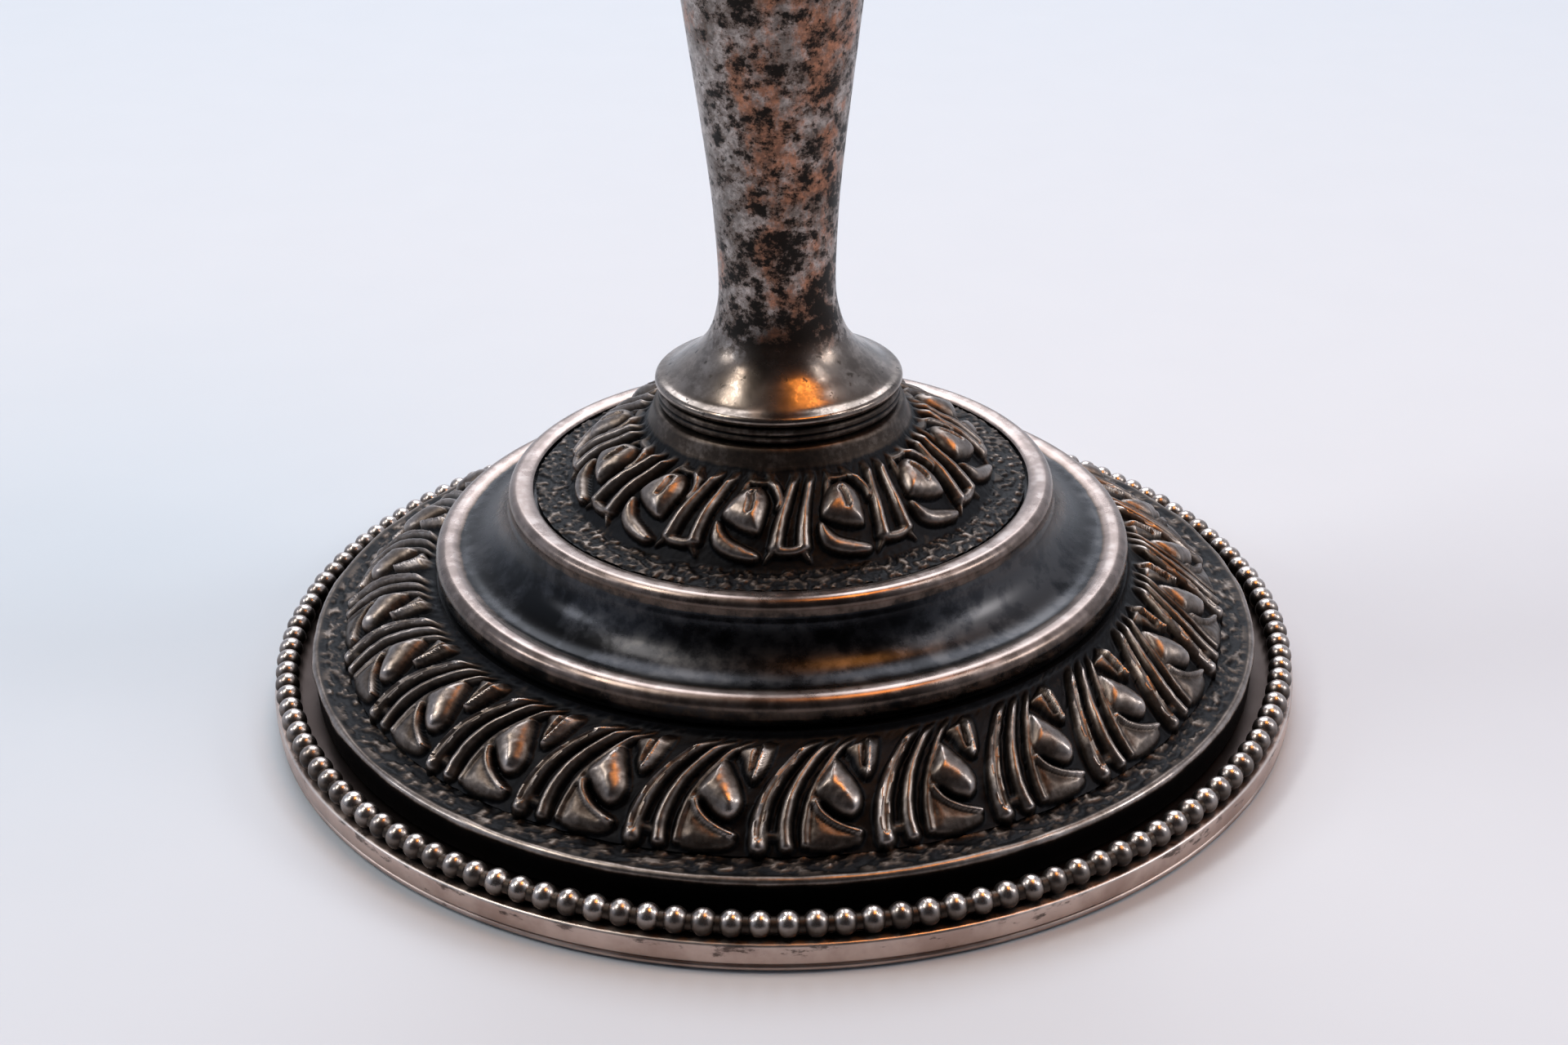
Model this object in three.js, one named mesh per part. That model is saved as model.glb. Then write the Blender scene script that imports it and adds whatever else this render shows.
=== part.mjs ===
// Altar candlestick in silver-plated copper: a round embossed foot, a slender stem that widens upwards, a knop,
// a capital, and a lift-off nozzle with a drip pan and a socket for a 22 mm candle. All shells are threaded on one
// steel tie rod, and the foot and stem are loaded with pitch.
//
// Millimetres, +Z up. The origin is the centre of the underside, on the table.
// Every outline is a list of [radius, height] points that is turned about the Z axis.

import * as THREE from "three";

// ---- Driving dimensions -------------------------------------------------------------------------------------

const FOOT_RADIUS = 63.5;
const EDGE_HEIGHT = 3.5; // flat band round the foot
const GAP = 0.3; // clearance kept between neighbouring pieces
const SHEET = 1.2; // thickness of the spun and stamped shells

const SEAT_Z = 36.4; // top of the foot, under the stem
const LIP_Z = 38.8; // underside of the stem's flared lip
const STEM_TOP_Z = 148;
const CAP_TOP_Z = 164.4; // top of the domed shoulder
const KNOP_TOP_Z = 178.5;
const CAPITAL_TOP_Z = 211.8;
const TOTAL_HEIGHT = 254;

const ROD_RADIUS = 3;
const ROD_HOLE = 3.6;
const CANDLE_BORE = 11.4; // takes a 22 mm candle
const PAN_RADIUS = 36.2;

// Sides of the turned pieces. Nested pieces share a count, so that their flats stay parallel and keep the gap.
const FOOT_SIDES = 32;
const STEM_SIDES = 24;
const ROD_SIDES = 12;
const BEAD_SIDES = 8; // sides of a beaded wire's section

// ---- Materials ----------------------------------------------------------------------------------------------

function metal(color, roughness) {
  return new THREE.MeshStandardMaterial({ color, roughness, metalness: 1 });
}

const agedSilver = metal(0x8d8480, 0.36);
const blackenedSilver = metal(0x3a3836, 0.48);
const brightSilver = metal(0xb9b2ac, 0.28);
const stemPlate = metal(0x87736a, 0.4);
const steel = metal(0x77787a, 0.5);
const brass = metal(0xa88b52, 0.45);
const pitch = new THREE.MeshStandardMaterial({ color: 0x2a2320, roughness: 0.8, metalness: 0 });
const baize = new THREE.MeshStandardMaterial({ color: 0x24472e, roughness: 0.95, metalness: 0 });

// ---- Builders -----------------------------------------------------------------------------------------------

const candlestick = new THREE.Group();
const nozzle = new THREE.Group(); // the pieces that lift off together
candlestick.add(nozzle);

function addMesh(name, geometry, material, parent) {
  const mesh = new THREE.Mesh(geometry, material);
  mesh.name = name;
  parent.add(mesh);
  return mesh;
}

// A piece turned about Z. The outline runs anticlockwise in the radius-height plane: it starts and ends on the
// axis, or it is closed here into a ring.
function turned(name, outline, material, sides = STEM_SIDES, parent = candlestick) {
  const points = outline.map(([radius, z]) => new THREE.Vector2(radius, z));
  const onAxis = outline[0][0] === 0 && outline.at(-1)[0] === 0;
  if (!onAxis) points.push(points[0].clone());
  const geometry = new THREE.LatheGeometry(points, sides);
  geometry.rotateX(Math.PI / 2);
  return addMesh(name, geometry, material, parent);
}

// Points on an arc in the radius-height plane, from one angle to another in degrees.
function arc(centre, radius, from, to, steps) {
  return Array.from({ length: steps + 1 }, (_, i) => {
    const angle = THREE.MathUtils.degToRad(from + ((to - from) * i) / steps);
    return [centre[0] + radius * Math.cos(angle), centre[1] + radius * Math.sin(angle)];
  });
}

// Points on a smooth curve through the given knots.
function curve(knots, steps) {
  const spline = new THREE.SplineCurve(knots.map(([radius, z]) => new THREE.Vector2(radius, z)));
  return spline.getPoints(steps).map((p) => [p.x, p.y]);
}

// The plain ring that a beaded wire fills, with its section centred at [radius, z].
function beadWire(name, centre, sectionRadius, sides = STEM_SIDES, parent = candlestick) {
  const section = arc(centre, sectionRadius, 22.5, 22.5 + 360 - 360 / BEAD_SIDES, BEAD_SIDES - 1);
  return turned(name, section, brightSilver, sides, parent);
}

// A plate with a round hole, standing on z.
function nut(name, shape, holeRadius, z, height, material) {
  const hole = new THREE.Path();
  hole.absarc(0, 0, holeRadius, 0, 2 * Math.PI, true);
  shape.holes.push(hole);
  const geometry = new THREE.ExtrudeGeometry(shape, {
    depth: height,
    bevelEnabled: false,
    curveSegments: ROD_SIDES,
  });
  geometry.translate(0, 0, z);
  return addMesh(name, geometry, material, candlestick);
}

function hexagon(acrossFlats) {
  const cornerRadius = acrossFlats / Math.sqrt(3);
  const corners = Array.from({ length: 6 }, (_, i) => {
    const angle = (i * Math.PI) / 3;
    return new THREE.Vector2(cornerRadius * Math.cos(angle), cornerRadius * Math.sin(angle));
  });
  return new THREE.Shape(corners);
}

// ---- Foot ---------------------------------------------------------------------------------------------------

const WEB_Z = EDGE_HEIGHT - SHEET; // underside of the rim's flat web
const WEB_INNER = 54;
const SKIRT_INNER = 62;
const EDGE_CHAMFER = 0.4;

function footRim() {
  turned("foot_rim", [
    [SKIRT_INNER, 0],
    [FOOT_RADIUS - EDGE_CHAMFER, 0],
    [FOOT_RADIUS, EDGE_CHAMFER],
    [FOOT_RADIUS, EDGE_HEIGHT - EDGE_CHAMFER],
    [FOOT_RADIUS - EDGE_CHAMFER, EDGE_HEIGHT],
    [WEB_INNER, EDGE_HEIGHT],
    [WEB_INNER, WEB_Z],
    [SKIRT_INNER, WEB_Z],
  ], agedSilver, FOOT_SIDES);
  const wireRadius = 1.35;
  beadWire("foot_bead_border", [62.1, EDGE_HEIGHT + GAP + wireRadius], wireRadius, FOOT_SIDES);
}

// The lower stamping: an upright edge with a thin fillet, a granulated ground and the wide leaf band.
function footDome() {
  const leafCrest = curve([[54.8, 9.2], [50.2, 12.8], [43.2, 15.6]], 4);
  turned("foot_dome", [
    [56.8, EDGE_HEIGHT + GAP],
    [58, EDGE_HEIGHT + GAP],
    [58.5, 7],
    ...arc([58, 7.5], 0.6, 0, 135, 3),
    [55.4, 8],
    ...leafCrest,
    [42.7, 15.9],
    [40.5, 15.9],
    [40.5, 15.9 - SHEET],
    [43.5, 14.3],
    [49.7, 11.6],
    [54.1, 8],
    [56.2, 6.9],
  ], blackenedSilver, FOOT_SIDES);
}

// The middle spinning: two rounded mouldings with a deep cove between them.
const COVE_CENTRE = [39.3, 25.1];
const COVE_RADIUS = 5.9;
const COVE_TOP_ANGLE = 188;

function footCove() {
  turned("foot_cove", [
    [41.2, 16.2],
    [42.4, 16.2],
    [42.6, 18],
    ...arc([41.2, 18.2], 1.4, 15, 90, 3),
    [40, 19.5],
    ...arc(COVE_CENTRE, COVE_RADIUS, 270, COVE_TOP_ANGLE, 6),
    [33.3, 24.7],
    ...arc([32.1, 25.5], 1.1, 0, 90, 3),
    [30.9, 26.6],
    [30.3, 26.2],
    [30.3, 25],
    [26.5, 25],
    [26.5, 25 - SHEET],
    [31.4, 25 - SHEET],
    ...arc(COVE_CENTRE, COVE_RADIUS + SHEET, COVE_TOP_ANGLE + 6, 268, 4),
    [40.6, 18],
    [41.2, 17.5],
  ], agedSilver, FOOT_SIDES);
}

// The upper stamping: a granulated ground, the narrow leaf band and a plain neck.
function footCap() {
  const leafCrest = curve([[25.8, 27.8], [22.6, 30.9], [17.6, 33.4]], 4);
  turned("foot_cap", [
    [28.7, 25 + GAP],
    [29.9, 25 + GAP],
    [29.9, 26.2],
    [29.5, 26.5],
    [26.3, 26.7],
    ...leafCrest,
    [16, 34.8],
    [15.2, SEAT_Z],
    [5, SEAT_Z],
    [5, SEAT_Z - SHEET],
    [14.2, SEAT_Z - SHEET],
    [16.8, 32.2],
    [22, 29.7],
    [25.4, 25.8],
  ], blackenedSilver, FOOT_SIDES);
  turned("seat_ring", [
    [4.2, SEAT_Z + GAP],
    [14.3, SEAT_Z + GAP],
    [14.6, SEAT_Z + 0.6],
    [14.6, LIP_Z - 0.6],
    [14.3, LIP_Z - GAP],
    [4.2, LIP_Z - GAP],
  ], blackenedSilver, FOOT_SIDES);
}

// ---- Stem ---------------------------------------------------------------------------------------------------

// Knots of the stem's outline, from the flared lip through the waist to the shoulder.
const STEM_KNOTS = [
  [14.8, 39.5],
  [11.5, 42.4],
  [8.4, 45.3],
  [6.75, 52],
  [7.85, 66],
  [10.1, 84],
  [13.2, 108],
  [15.5, 130],
  [16.2, STEM_TOP_Z],
];
const STEM_STEPS = 22;

function stemShell() {
  const outside = curve(STEM_KNOTS, STEM_STEPS);
  const inside = curve(STEM_KNOTS.map(([radius, z]) => [radius - SHEET, z]), STEM_STEPS / 2).reverse();
  turned("stem_shell", [
    [14.8 - SHEET, LIP_Z],
    [14.5, LIP_Z],
    [14.85, 39.1],
    ...outside,
    ...inside,
  ], stemPlate);
}

// ---- Shoulder, knop and capital -----------------------------------------------------------------------------

function shoulderCap() {
  const wireRadius = 1.15;
  const skirtRadius = 14.5;
  const brimZ = 151.1;
  beadWire("shoulder_bead_border", [16.1, (STEM_TOP_Z + brimZ) / 2], wireRadius);
  turned("shoulder_cap", [
    [skirtRadius - SHEET, 145.5],
    [skirtRadius, 145.5],
    [skirtRadius, brimZ],
    [16.4, brimZ],
    [16.8, 151.6],
    [16.3, 152.1],
    ...curve([[15.8, 153], [12.9, 157.3], [8.3, 160.4]], 4),
    [6.9, 162.2],
    [6.6, CAP_TOP_Z],
    [ROD_HOLE, CAP_TOP_Z],
    [ROD_HOLE, CAP_TOP_Z - SHEET],
    [5.4, CAP_TOP_Z - SHEET],
    [7.6, 159.2],
    [12, 156.2],
    [skirtRadius - SHEET, 152.9],
  ], blackenedSilver);
}

function knop() {
  const bottom = CAP_TOP_Z + GAP;
  const middle = (bottom + KNOP_TOP_Z) / 2;
  turned("knop", [
    [ROD_HOLE, bottom],
    [6.4, bottom],
    ...arc([6.4, bottom + 0.9], 0.9, -60, 60, 3),
    [6.2, bottom + 2.1],
    ...arc([4.4, middle], 5.9, -55, 55, 8),
    [6.2, KNOP_TOP_Z - 2.1],
    ...arc([6.4, KNOP_TOP_Z - 0.9], 0.9, -60, 60, 3),
    [6.4, KNOP_TOP_Z],
    [ROD_HOLE, KNOP_TOP_Z],
  ], agedSilver);
}

// A vase-shaped holder, bored from above for the nozzle's spigot.
const SPIGOT_BORE = 9.6;
const BORE_FLOOR_Z = 188.6;

function capital() {
  turned("capital", [
    [ROD_HOLE, KNOP_TOP_Z + GAP],
    [6.3, KNOP_TOP_Z + GAP],
    ...curve([[6.8, 180], [10.8, 183.6], [15.2, 190.4], [15, 197], [13.2, 202.4], [13.9, 207.4], [16.6, 210.2]], 14),
    [17, 210.9],
    [16.7, CAPITAL_TOP_Z],
    [SPIGOT_BORE, CAPITAL_TOP_Z],
    [SPIGOT_BORE, BORE_FLOOR_Z],
    [ROD_HOLE, BORE_FLOOR_Z],
  ], agedSilver);
}

// ---- Nozzle: spigot, drip pan and candle socket -------------------------------------------------------------

const PAN_UNDERSIDE_Z = CAPITAL_TOP_Z + GAP;
const PAN_TOP_Z = 220.2;
const NECK_RADIUS = 5.7; // the spigot's neck, riveted through the pan into the socket

function nozzlePieces() {
  turned("nozzle_spigot", [
    [0, 198],
    [8.8, 198],
    [SPIGOT_BORE - GAP, 198.6],
    [SPIGOT_BORE - GAP, CAPITAL_TOP_Z],
    [NECK_RADIUS, CAPITAL_TOP_Z],
    [NECK_RADIUS, 216.5],
    [0, 216.5],
  ], brass, STEM_SIDES, nozzle);

  turned("drip_pan", [
    [NECK_RADIUS + GAP, PAN_UNDERSIDE_Z],
    [15.5, PAN_UNDERSIDE_Z],
    [24, 213.7],
    [31, 216.5],
    [34.2, PAN_TOP_Z - SHEET],
    [PAN_RADIUS, PAN_TOP_Z - SHEET],
    [PAN_RADIUS, PAN_TOP_Z],
    [33.7, PAN_TOP_Z],
    [30.4, 217.7],
    [23.6, 214.9],
    [15.2, PAN_UNDERSIDE_Z + SHEET],
    [NECK_RADIUS + GAP, PAN_UNDERSIDE_Z + SHEET],
  ], agedSilver, STEM_SIDES, nozzle);
  const wireRadius = 1.15;
  beadWire("pan_bead_border", [35, PAN_TOP_Z + GAP + wireRadius], wireRadius, STEM_SIDES, nozzle);

  const socketZ = PAN_UNDERSIDE_Z + SHEET + GAP;
  const floorZ = 218.8;
  turned("candle_socket", [
    [0, 216.8],
    [NECK_RADIUS + GAP, 216.8],
    [NECK_RADIUS + GAP, socketZ],
    [12.4, socketZ],
    ...arc([12.4, socketZ + 0.8], 0.8, -30, 90, 3),
    [11.4, 215.9],
    ...curve([[11.2, 217], [12.8, 220], [13.1, 230], [13.1, 245], [14.4, 250.8]], 8),
    [15.6, 252.6],
    [15.6, 253.4],
    [15, TOTAL_HEIGHT],
    [13.6, TOTAL_HEIGHT],
    [12, 250.5],
    [CANDLE_BORE, 247],
    [CANDLE_BORE, floorZ],
    [0, floorZ],
  ], agedSilver, STEM_SIDES, nozzle);
}

// ---- Inside: tie rod, fixings, loading and the closed underside ---------------------------------------------

const ROD_BOTTOM_Z = 2.8;
const ROD_TOP_Z = 196;
const POCKET_Z = 9; // top of the recess that holds the foot nut and its washer

function tieRod() {
  turned("tie_rod", [
    [0, ROD_BOTTOM_Z],
    [ROD_RADIUS - 0.5, ROD_BOTTOM_Z],
    [ROD_RADIUS, ROD_BOTTOM_Z + 0.5],
    [ROD_RADIUS, ROD_TOP_Z - 0.5],
    [ROD_RADIUS - 0.5, ROD_TOP_Z],
    [0, ROD_TOP_Z],
  ], steel, ROD_SIDES);

  const holeRadius = ROD_RADIUS + GAP;
  nut("foot_nut", hexagon(10), holeRadius, ROD_BOTTOM_Z + 0.2, 4.4, steel);
  nut("capital_nut", hexagon(10), holeRadius, BORE_FLOOR_Z + SHEET + 2 * GAP, 4.4, brass);
  turned("foot_washer", [
    [holeRadius, POCKET_Z - GAP - SHEET],
    [10, POCKET_Z - GAP - SHEET],
    [10, POCKET_Z - GAP],
    [holeRadius, POCKET_Z - GAP],
  ], steel, ROD_SIDES);
  turned("capital_washer", [
    [holeRadius, BORE_FLOOR_Z + GAP],
    [7.4, BORE_FLOOR_Z + GAP],
    [7.4, BORE_FLOOR_Z + GAP + SHEET],
    [holeRadius, BORE_FLOOR_Z + GAP + SHEET],
  ], brass, ROD_SIDES);
}

function loading() {
  turned("foot_loading", [
    [12, WEB_Z],
    [WEB_INNER - GAP, WEB_Z],
    [WEB_INNER - GAP, EDGE_HEIGHT + GAP],
    [56.3, 4.2],
    [55.8, 6.4],
    [53.8, 7.3],
    [49.4, 11],
    [43.3, 13.8],
    [40, 14.4],
    [40, 17.5],
    [35, 18.8],
    [32, 21.4],
    [30.8, 23.3],
    [26, 23.4],
    [24.9, 25.4],
    [21.6, 29.2],
    [16.5, 31.6],
    [13.8, SEAT_Z - SHEET - GAP],
    [ROD_HOLE, SEAT_Z - SHEET - GAP],
    [ROD_HOLE, POCKET_Z],
    [12, POCKET_Z],
  ], pitch, FOOT_SIDES);

  const clear = SHEET + GAP + 0.2;
  const outside = curve(STEM_KNOTS.map(([radius, z]) => [radius - clear, z]), STEM_STEPS / 2);
  const body = outside.filter(([, z]) => z > LIP_Z + 1 && z < 144);
  turned("stem_loading", [
    [ROD_HOLE, LIP_Z + 1],
    [body[0][0], LIP_Z + 1],
    ...body,
    [ROD_HOLE, body.at(-1)[1]],
  ], pitch);
}

function underside() {
  turned("base_plate", [
    [0, 1],
    [SKIRT_INNER - GAP, 1],
    [SKIRT_INNER - GAP, WEB_Z - GAP],
    [0, WEB_Z - GAP],
  ], steel, FOOT_SIDES);
  turned("baize_pad", [
    [0, 0],
    [SKIRT_INNER - 0.5, 0],
    [SKIRT_INNER - 0.5, 1 - GAP],
    [0, 1 - GAP],
  ], baize, FOOT_SIDES);
}

footRim();
footDome();
footCove();
footCap();
stemShell();
shoulderCap();
knop();
capital();
nozzlePieces();
tieRod();
loading();
underside();

export default candlestick;
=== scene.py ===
"""Looks of an altar candlestick in worn and tarnished silver plate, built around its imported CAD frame.

Lengths are in millimetres until a mesh is made. A point of an outline is (radius, height). Angles
round the candlestick are in degrees from the front, which is -Y, towards +X.
"""

import math

import bpy
import numpy as np
from mathutils import Matrix, Quaternion, Vector


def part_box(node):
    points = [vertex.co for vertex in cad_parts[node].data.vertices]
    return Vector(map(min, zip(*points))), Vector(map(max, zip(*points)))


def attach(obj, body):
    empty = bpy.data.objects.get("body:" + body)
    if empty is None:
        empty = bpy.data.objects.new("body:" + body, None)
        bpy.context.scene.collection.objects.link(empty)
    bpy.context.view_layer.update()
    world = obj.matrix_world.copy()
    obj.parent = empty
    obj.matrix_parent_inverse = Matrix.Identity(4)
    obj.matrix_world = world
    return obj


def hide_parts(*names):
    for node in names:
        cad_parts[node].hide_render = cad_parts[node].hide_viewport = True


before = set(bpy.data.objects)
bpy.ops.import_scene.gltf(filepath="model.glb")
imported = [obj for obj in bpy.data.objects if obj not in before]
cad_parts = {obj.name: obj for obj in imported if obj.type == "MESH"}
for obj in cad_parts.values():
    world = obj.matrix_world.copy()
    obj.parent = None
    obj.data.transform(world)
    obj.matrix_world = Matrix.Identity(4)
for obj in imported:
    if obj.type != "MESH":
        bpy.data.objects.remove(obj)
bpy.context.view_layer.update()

MM = 0.001
SEED = 11
FOOT_BODY = "candlestick"
NOZZLE_BODY = "nozzle"

random = np.random.default_rng(SEED)


# ---- The frame ----


def extent(node):
    """The radius, the underside and the top of a CAD node."""
    low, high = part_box(node)
    return high[0] / MM, low[2] / MM, high[2] / MM


# ---- Outlines ----


def offset(points, radius, height):
    """Points given as distances out from a radius and up from a height."""
    return [(radius + out, height + up) for out, up in points]


def arc(centre, radius, start, end, steps):
    """Points on an arc, from one angle to another in degrees."""
    angles = np.radians(np.linspace(start, end, steps + 1))
    return [(centre[0] + radius * math.cos(a), centre[1] + radius * math.sin(a)) for a in angles]


def curve(knots, steps=12):
    """Points on a smooth curve through the knots, with some steps between each two."""
    knots = np.array(knots, float)
    ends = np.vstack([2 * knots[0] - knots[1], knots, 2 * knots[-1] - knots[-2]])
    points = []
    for before, a, b, after in zip(ends, ends[1:], ends[2:], ends[3:]):
        for t in np.arange(steps) / steps:
            square = 2 * before - 5 * a + 4 * b - after
            cube = 3 * a - before - 3 * b + after
            points.append(a + ((b - before) * t + square * t**2 + cube * t**3) / 2)
    return np.vstack([points, knots[-1]])


def length_along(points):
    """How far each point lies along its line."""
    return np.r_[0, np.cumsum(np.hypot(*np.diff(points, axis=0).T))]


def spaced(points, step):
    """The same line with its points a step apart."""
    points = np.array(points, float)
    along = length_along(points)
    places = np.linspace(0, along[-1], max(2, round(along[-1] / step) + 1))
    return np.column_stack([np.interp(places, along, points[:, i]) for i in (0, 1)])


def smooth_step(low, high, value):
    """0 up to low, 1 from high on, and smooth between them."""
    t = np.clip((value - low) / (high - low), 0, 1)
    return t * t * (3 - 2 * t)


class Outline:
    """The section of a turned piece, laid down anticlockwise, stretch by stretch.

    Each stretch has its wear, from 0 for black tarnish to 1 for bright silver, with painted light and
    shade on some stretches. It may have a relief in millimetres, with a row for each point, and a swirl
    in degrees for each point.
    """

    def __init__(self, node, columns):
        self.radius, self.low, self.high = extent(node)
        self.columns = columns
        self.points, self.wear_and_painted_light, self.relief, self.swirl = [], [], [], []

    def stretch(self, points, wear_and_painted_light, relief=None, swirl=None):
        rows = len(points)
        self.points.append(np.array(points, float))
        wear_and_painted_light = np.reshape(wear_and_painted_light, (-1, 1)) if np.ndim(wear_and_painted_light) < 2 else wear_and_painted_light
        self.wear_and_painted_light.append(np.broadcast_to(wear_and_painted_light, (rows, self.columns)))
        self.relief.append(np.zeros((rows, self.columns)) if relief is None else relief)
        self.swirl.append(np.zeros(rows) if swirl is None else swirl)

    def above(self, points, wear_and_painted_light):
        """A plain stretch, with points measured from the node's radius and underside."""
        self.stretch(offset(points, self.radius, self.low), wear_and_painted_light)

    def below(self, points, wear_and_painted_light):
        """A plain stretch, with points measured from the node's radius and top."""
        self.stretch(offset(points, self.radius, self.high), wear_and_painted_light)

    def embossed(self, points, relief, base, swirl=None, gain=0.36):
        self.stretch(points, relief_wear(relief, base, gain), relief, swirl)

    def onward(self, points, wear_and_painted_light):
        """A stretch like above, with the swirl of the last point."""
        points = offset(points, self.radius, self.low)
        self.stretch(points, wear_and_painted_light, None, np.full(len(points), self.swirl[-1][-1]))

    def unwound(self, points, wear_and_painted_light):
        """A stretch like above, over which the swirl goes back to none."""
        points = offset(points, self.radius, self.low)
        self.stretch(points, wear_and_painted_light, None, self.swirl[-1][-1] * np.linspace(1, 0, len(points)))

    def joined(self):
        return (np.concatenate(part) for part in (self.points, self.wear_and_painted_light, self.relief, self.swirl))


# ---- Meshes ----


def softened(field, rows, columns):
    """A field blurred twice over a reach in rows along an outline, and in columns round the piece."""
    for _ in range(2):
        for axis, (reach, mode) in enumerate(((rows, "edge"), (columns, "wrap"))):
            if reach < 1:
                continue
            pads = [(0, 0), (0, 0)]
            pads[axis] = (reach, reach)
            total = np.cumsum(np.pad(field, pads, mode=mode), axis=axis)
            total = np.moveaxis(np.insert(total, 0, 0, axis=axis), axis, 0)
            window = 2 * reach + 1
            field = np.moveaxis((total[window:] - total[:-window]) / window, 0, axis)
    return field


def outward(points, closed):
    """The unit normal at each point of an outline."""
    if closed:
        step = np.roll(points, -1, axis=0) - np.roll(points, 1, axis=0)
    else:
        step = np.gradient(points, axis=0)
    step /= np.maximum(np.hypot(step[:, 0], step[:, 1]), 1e-9)[:, None]
    return np.column_stack([step[:, 1], -step[:, 0]])


def place(piece, node, body=FOOT_BODY):
    """Puts a piece on its body, in place of the CAD node it stands for."""
    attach(piece, body)
    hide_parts(node)


def mesh_object(name, points, faces, material, wear_and_painted_light, sharp):
    """A smooth mesh with its wear and painted light, and with creases where faces meet at more than the
    sharp angle.
    """
    mesh = bpy.data.meshes.new(name)
    mesh.from_pydata((np.asarray(points) * MM).tolist(), [], faces)
    worn_and_lit = mesh.attributes.new("wear_and_painted_light", "FLOAT", "POINT")
    worn_and_lit.data.foreach_set("value", np.ravel(wear_and_painted_light).astype(np.float32))
    mesh.shade_smooth()
    mesh.set_sharp_from_angle(angle=math.radians(sharp))
    mesh.materials.append(material)
    piece = bpy.data.objects.new(name, mesh)
    bpy.context.scene.collection.objects.link(piece)
    return piece


def grid_faces(rows, columns, closed):
    """Quads between neighbouring rows, and round each row."""
    row = np.arange(rows if closed else rows - 1)
    above = (row + 1) % rows
    column = np.arange(columns)
    right = (column + 1) % columns
    corners = [(row, column), (row, right), (above, right), (above, column)]
    return np.stack([np.add.outer(r * columns, c) for r, c in corners], axis=-1).reshape(-1, 4)


def turned(name, outline, material, sharp=40):
    """A piece turned about the upright axis. An outline that starts on the axis is closed there."""
    points, wear_and_painted_light, relief, swirl = outline.joined()
    on_axis = points[0, 0] < 1e-6
    normals = outward(points, not on_axis)
    if on_axis:
        inner = slice(1, -1)
        poles = points[[0, -1]]
        points, wear_and_painted_light, relief, swirl, normals = (a[inner] for a in (points, wear_and_painted_light, relief, swirl, normals))
    angles = np.linspace(0, 2 * math.pi, outline.columns, endpoint=False) + np.radians(swirl)[:, None]
    radius = points[:, :1] + relief * normals[:, :1]
    height = points[:, 1:] + relief * normals[:, 1:]
    vertices = np.stack([radius * np.sin(angles), -radius * np.cos(angles), height], axis=-1)
    vertices = vertices.reshape(-1, 3)
    rows, columns = radius.shape
    faces = grid_faces(rows, columns, not on_axis).tolist()
    if on_axis:
        first, last = len(vertices), len(vertices) + 1
        vertices = np.vstack([vertices, [[0, 0, z] for z in poles[:, 1]]])
        wear_and_painted_light = np.r_[wear_and_painted_light.ravel(), wear_and_painted_light[0, 0], wear_and_painted_light[-1, 0]]
        top = (rows - 1) * columns
        for column in range(columns):
            right = (column + 1) % columns
            faces.append([first, right, column])
            faces.append([last, top + column, top + right])
    return mesh_object(name, vertices, faces, material, wear_and_painted_light, sharp)


# ---- Wear ----


def edge_wear(points, base):
    """Wear along an outline, brighter on convex edges and darker in hollows."""
    gain, reach = 1.2, 4
    points = np.array(points, float)
    padded = np.pad(points, ((reach, reach), (0, 0)), mode="edge")
    window = 2 * reach + 1
    mean = np.column_stack([np.convolve(padded[:, i], np.ones(window) / window, "valid") for i in (0, 1)])
    raised = np.sum((points - mean) * outward(points, False), axis=1)
    return np.clip(base + gain * raised, 0, 1)


def relief_wear(relief, base, gain):
    """Wear of a relief: brighter the higher it stands, brightest on edges and black in hollows."""
    reach, rise = 5, 0.25
    raised = relief - softened(relief, min(reach, len(relief) - 1), reach)
    return np.clip(base + rise * np.sqrt(np.clip(relief, 0, None)) + gain * raised, 0, 1)


# ---- Relief ----


def nearest_on(x, y, a, b):
    """How far along the line from a to b the nearest point lies, from 0 to 1, and how far away it is."""
    dx, dy = b[0] - a[0], b[1] - a[1]
    t = np.clip(((x - a[0]) * dx + (y - a[1]) * dy) / max(dx * dx + dy * dy, 1e-9), 0, 1)
    return t, np.hypot(x - a[0] - t * dx, y - a[1] - t * dy)


def stroke(x, y, knots, width, height, end_width=None, fullness=0.6):
    """A rounded ridge on a smooth line through the knots. Its half-width goes from width to end_width."""
    line = curve(knots, 6)
    widths = np.linspace(width, end_width or width, len(line))
    raised = np.zeros_like(x)
    for a, b, width_a, width_b in zip(line, line[1:], widths, widths[1:]):
        t, away = nearest_on(x, y, a, b)
        gap = away / (width_a + t * (width_b - width_a))
        raised = np.maximum(raised, np.clip(1 - gap**2, 0, None) ** fullness)
    return height * raised


def lobe(x, y, corners, height, edge):
    """A raised shape with a smooth outline through the corners, rounded over a width along its edge."""
    steps = 5
    closed = curve([corners[-1], *corners, corners[0], corners[1]], steps)[steps:-steps]
    nearest = np.full(x.shape, np.inf)
    inside = np.zeros(x.shape, bool)
    for a, b in zip(closed, np.roll(closed, -1, axis=0)):
        nearest = np.minimum(nearest, nearest_on(x, y, a, b)[1])
        if a[1] != b[1]:
            crossing = a[0] + (y - a[1]) * (b[0] - a[0]) / (b[1] - a[1])
            inside ^= ((a[1] > y) != (b[1] > y)) & (x < crossing)
    rise = np.clip(nearest / edge, 0, 1)
    return np.where(inside, height * np.sqrt(1 - (1 - rise) ** 2), 0)


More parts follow.
